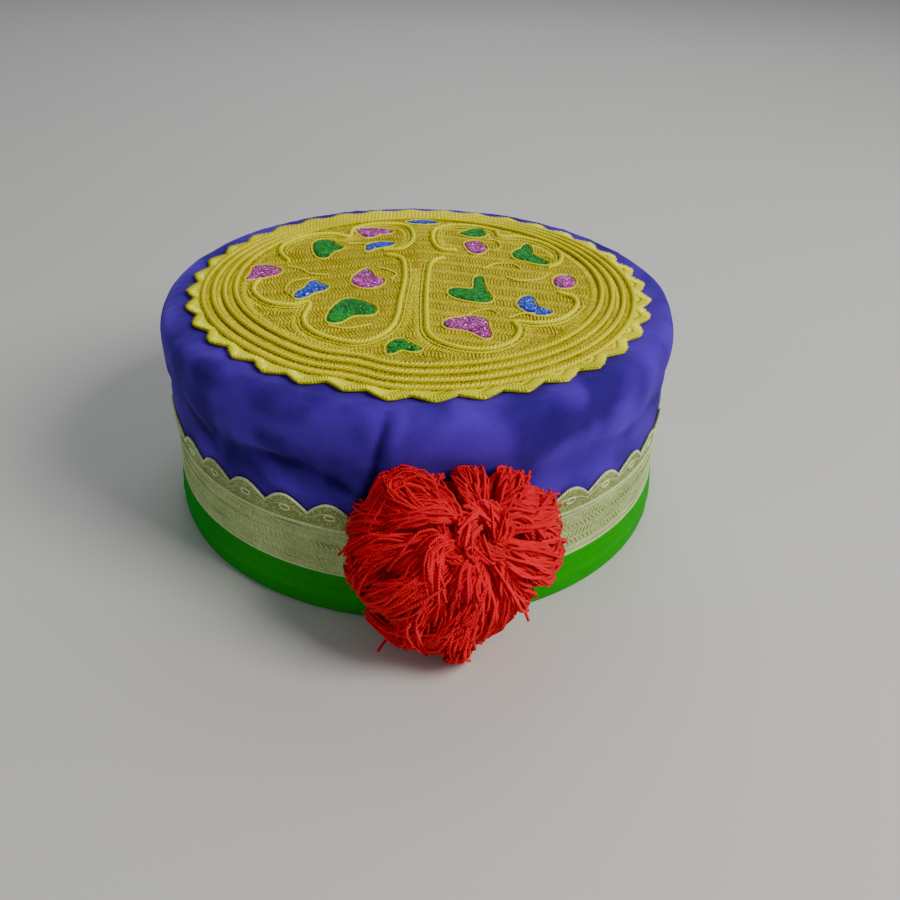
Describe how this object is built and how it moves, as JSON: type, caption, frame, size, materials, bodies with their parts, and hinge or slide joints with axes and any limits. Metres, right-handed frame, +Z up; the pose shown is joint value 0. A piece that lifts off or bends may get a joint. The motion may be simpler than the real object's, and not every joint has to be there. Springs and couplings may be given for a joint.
{
  "type": "traditional festive hat",
  "caption": "Round flat-topped velvet hat with a padded edge roll, gold embroidered top with coloured petals, scalloped lace braid, green binding and red wool pompom.",
  "frame": {"origin": "middle of the hat's box, on the surface that it stands on", "axes": "+Z up, the pompom in front at -Y, the back at +Y, +X to the right as seen from the front"},
  "size_m": [0.1906, 0.221, 0.0833],
  "materials": {
    "velvet": "deep blue-violet velvet with a soft nap",
    "green_satin": "smooth bright green satin",
    "lace": "pale metallic lace braid",
    "gold_embroidery": "laid gold thread",
    "gold_cord": "twisted bright gold cord",
    "petal_green": "glossy stitched thread with glitter",
    "petal_pink": "glossy stitched thread with glitter",
    "petal_blue": "glossy stitched thread with glitter",
    "wool": "fluffy red wool yarn"
  },
  "bodies": {
    "root": {"crown_side": "velvet", "crown_top": "velvet", "base_band": "green_satin", "braid_band": "lace", "braid_cord": "lace", "top_applique": "gold_embroidery", "pompom": "wool", "border_cord_1": "gold_cord", "border_cord_2": "gold_cord", "border_cord_3": "gold_cord", "border_cord_4": "gold_cord", "leaf_cord_front_left": "gold_cord", "leaf_cord_front_right": "gold_cord", "leaf_cord_back_left": "gold_cord", "leaf_cord_back_right": "gold_cord", "petal_green_1": "petal_green", "petal_green_2": "petal_green", "petal_green_3": "petal_green", "petal_green_4": "petal_green", "petal_green_5": "petal_green", "petal_green_6": "petal_green", "petal_pink_1": "petal_pink", "petal_pink_2": "petal_pink", "petal_pink_3": "petal_pink", "petal_pink_4": "petal_pink", "petal_pink_5": "petal_pink", "petal_pink_6": "petal_pink", "petal_blue_1": "petal_blue", "petal_blue_2": "petal_blue", "petal_blue_3": "petal_blue", "petal_blue_4": "petal_blue"}
  },
  "joints": []
}
